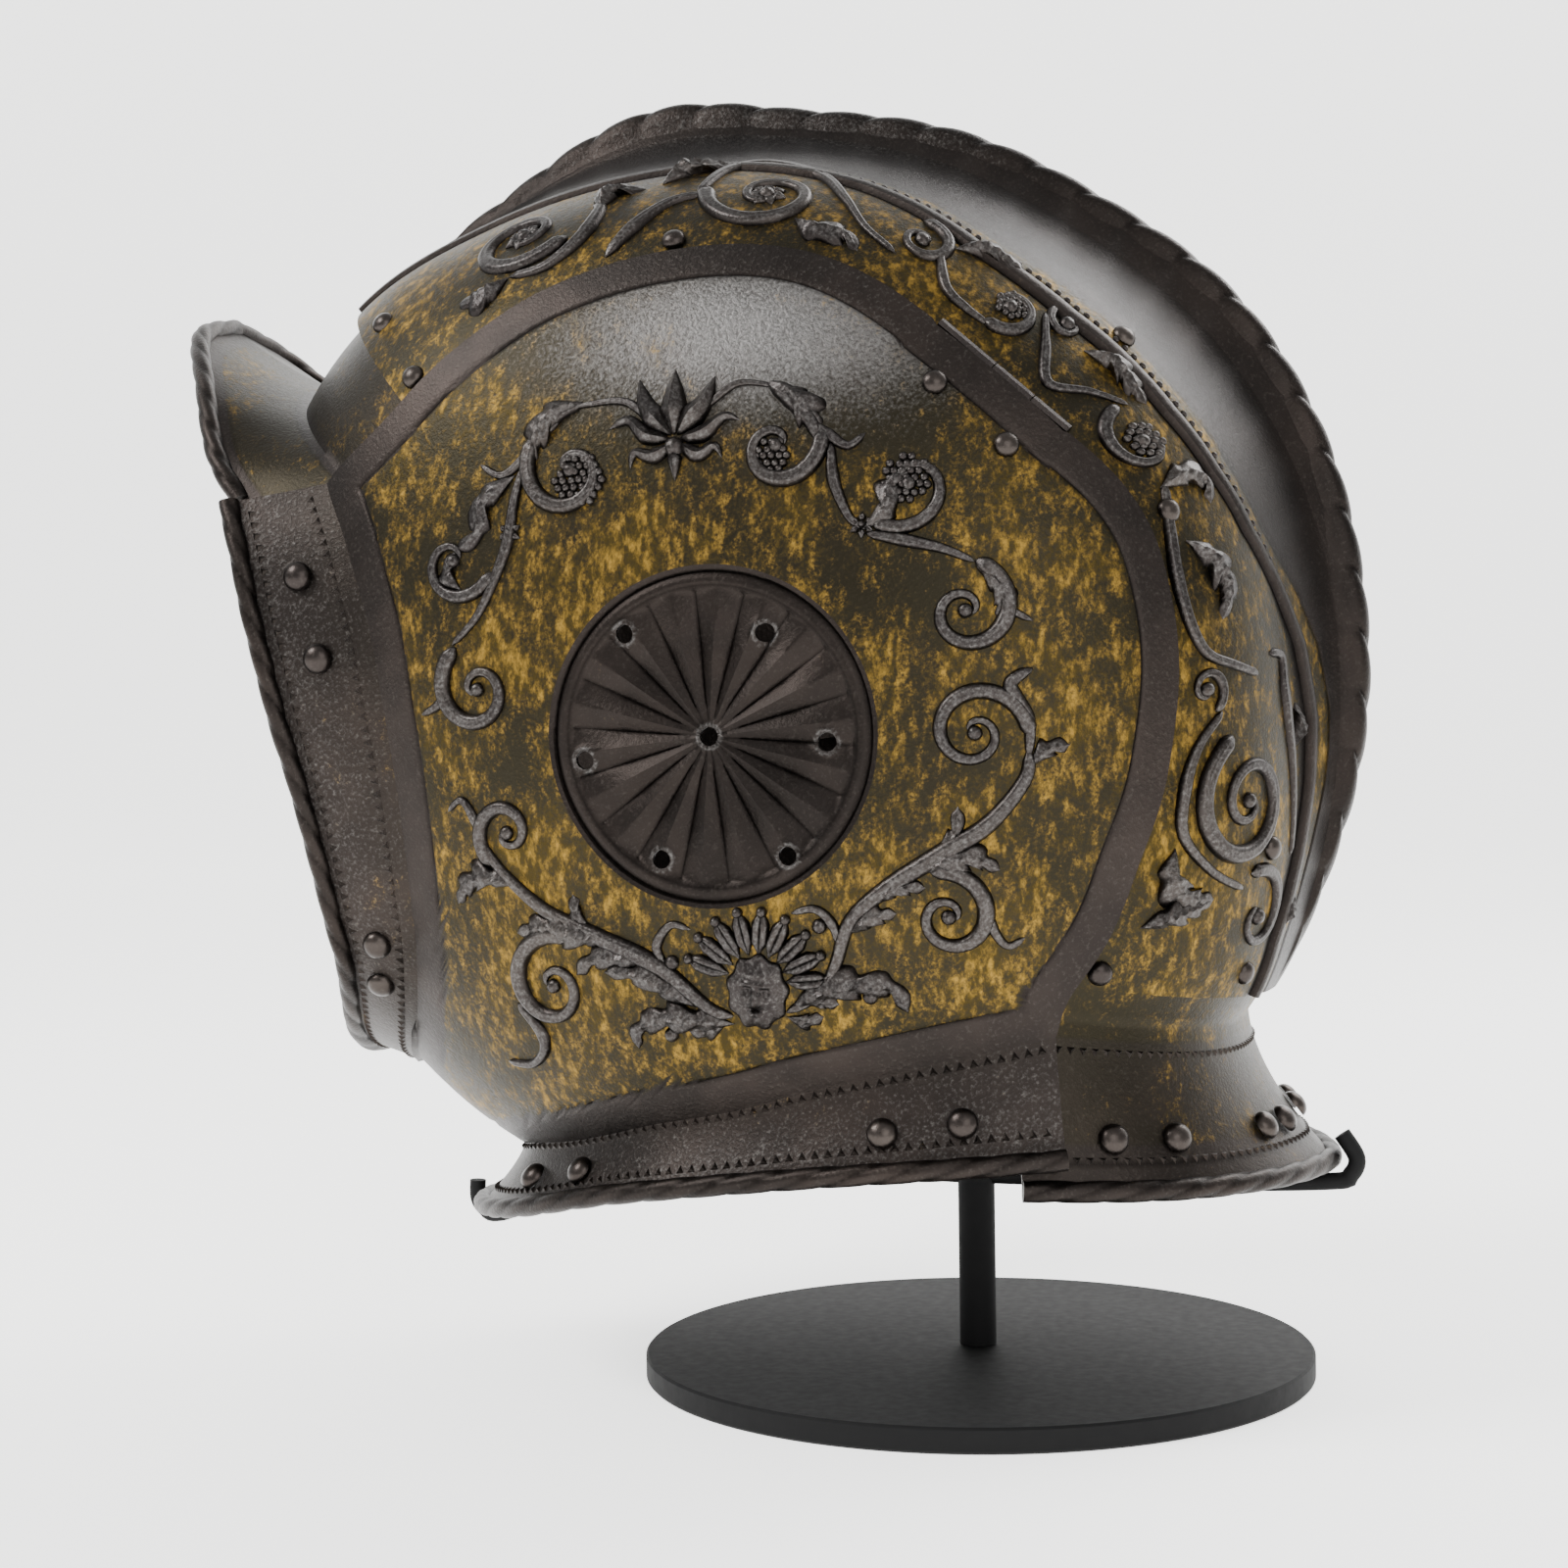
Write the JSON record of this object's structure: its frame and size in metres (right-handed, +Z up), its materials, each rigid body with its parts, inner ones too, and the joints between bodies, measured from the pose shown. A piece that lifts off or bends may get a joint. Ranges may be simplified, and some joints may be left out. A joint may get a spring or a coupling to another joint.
{
  "type": "parade helmet on display stand",
  "caption": "Open-faced parade helmet with a high comb, upturned peak, flared neck guard and hinged embossed cheekpieces, held by a plain round-footed display stand.",
  "frame": {"origin": "middle of the underside of the stand's round base", "axes": "+Z up, -Y the way the helmet faces, +X the wearer's left"},
  "size_m": [0.2004, 0.3208, 0.3422],
  "materials": {
    "russet_steel": "brown-black russet steel, embossed, with worn gilding",
    "gilt_rivets": "worn gilt rivet heads",
    "hinge_steel": "dark steel",
    "stand_black": "matt black paint"
  },
  "bodies": {
    "helmet": {"skull": "russet_steel", "peak": "russet_steel", "neck_guard": "russet_steel", "hinge_skull_leaf_left": "hinge_steel", "skull_rivet_left_1": "gilt_rivets", "skull_rivet_left_2": "gilt_rivets", "skull_rivet_left_3": "gilt_rivets", "skull_rivet_left_4": "gilt_rivets", "skull_rivet_left_5": "gilt_rivets", "skull_rivet_left_6": "gilt_rivets", "guard_rivet_left_1": "gilt_rivets", "guard_rivet_left_2": "gilt_rivets", "guard_rivet_left_3": "gilt_rivets", "guard_rivet_left_4": "gilt_rivets", "brow_rivet_left_1": "gilt_rivets", "brow_rivet_left_2": "gilt_rivets", "hinge_skull_leaf_right": "hinge_steel", "skull_rivet_right_1": "gilt_rivets", "skull_rivet_right_2": "gilt_rivets", "skull_rivet_right_3": "gilt_rivets", "skull_rivet_right_4": "gilt_rivets", "skull_rivet_right_5": "gilt_rivets", "skull_rivet_right_6": "gilt_rivets", "guard_rivet_right_1": "gilt_rivets", "guard_rivet_right_2": "gilt_rivets", "guard_rivet_right_3": "gilt_rivets", "guard_rivet_right_4": "gilt_rivets", "brow_rivet_right_1": "gilt_rivets", "brow_rivet_right_2": "gilt_rivets", "brow_rivet_middle": "gilt_rivets", "stand_base": "stand_black", "stand_frame": "stand_black"},
    "cheek_left": {"cheekpiece_left": "russet_steel", "hinge_cheek_leaf_left": "hinge_steel", "cheek_rivet_left_1": "gilt_rivets", "cheek_rivet_left_2": "gilt_rivets", "cheek_rivet_left_3": "gilt_rivets", "face_rivet_left_1": "gilt_rivets", "face_rivet_left_2": "gilt_rivets", "face_rivet_left_3": "gilt_rivets", "face_rivet_left_4": "gilt_rivets", "neck_rivet_left_1": "gilt_rivets", "neck_rivet_left_2": "gilt_rivets", "neck_rivet_left_3": "gilt_rivets", "neck_rivet_left_4": "gilt_rivets"},
    "cheek_right": {"cheekpiece_right": "russet_steel", "hinge_cheek_leaf_right": "hinge_steel", "cheek_rivet_right_1": "gilt_rivets", "cheek_rivet_right_2": "gilt_rivets", "cheek_rivet_right_3": "gilt_rivets", "face_rivet_right_1": "gilt_rivets", "face_rivet_right_2": "gilt_rivets", "face_rivet_right_3": "gilt_rivets", "face_rivet_right_4": "gilt_rivets", "neck_rivet_right_1": "gilt_rivets", "neck_rivet_right_2": "gilt_rivets", "neck_rivet_right_3": "gilt_rivets", "neck_rivet_right_4": "gilt_rivets"}
  },
  "joints": [
    {"name": "cheek_left_hinge", "type": "hinge", "parent": "helmet", "child": "cheek_left", "pos_m": [0.07426, 0.02485, 0.2556], "axis": [0.0047, -0.7509, 0.6604], "range_deg": [0, 95]},
    {"name": "cheek_right_hinge", "type": "hinge", "parent": "helmet", "child": "cheek_right", "pos_m": [-0.07426, 0.02485, 0.2556], "axis": [0.0047, 0.7509, -0.6604], "range_deg": [0, 95]}
  ]
}
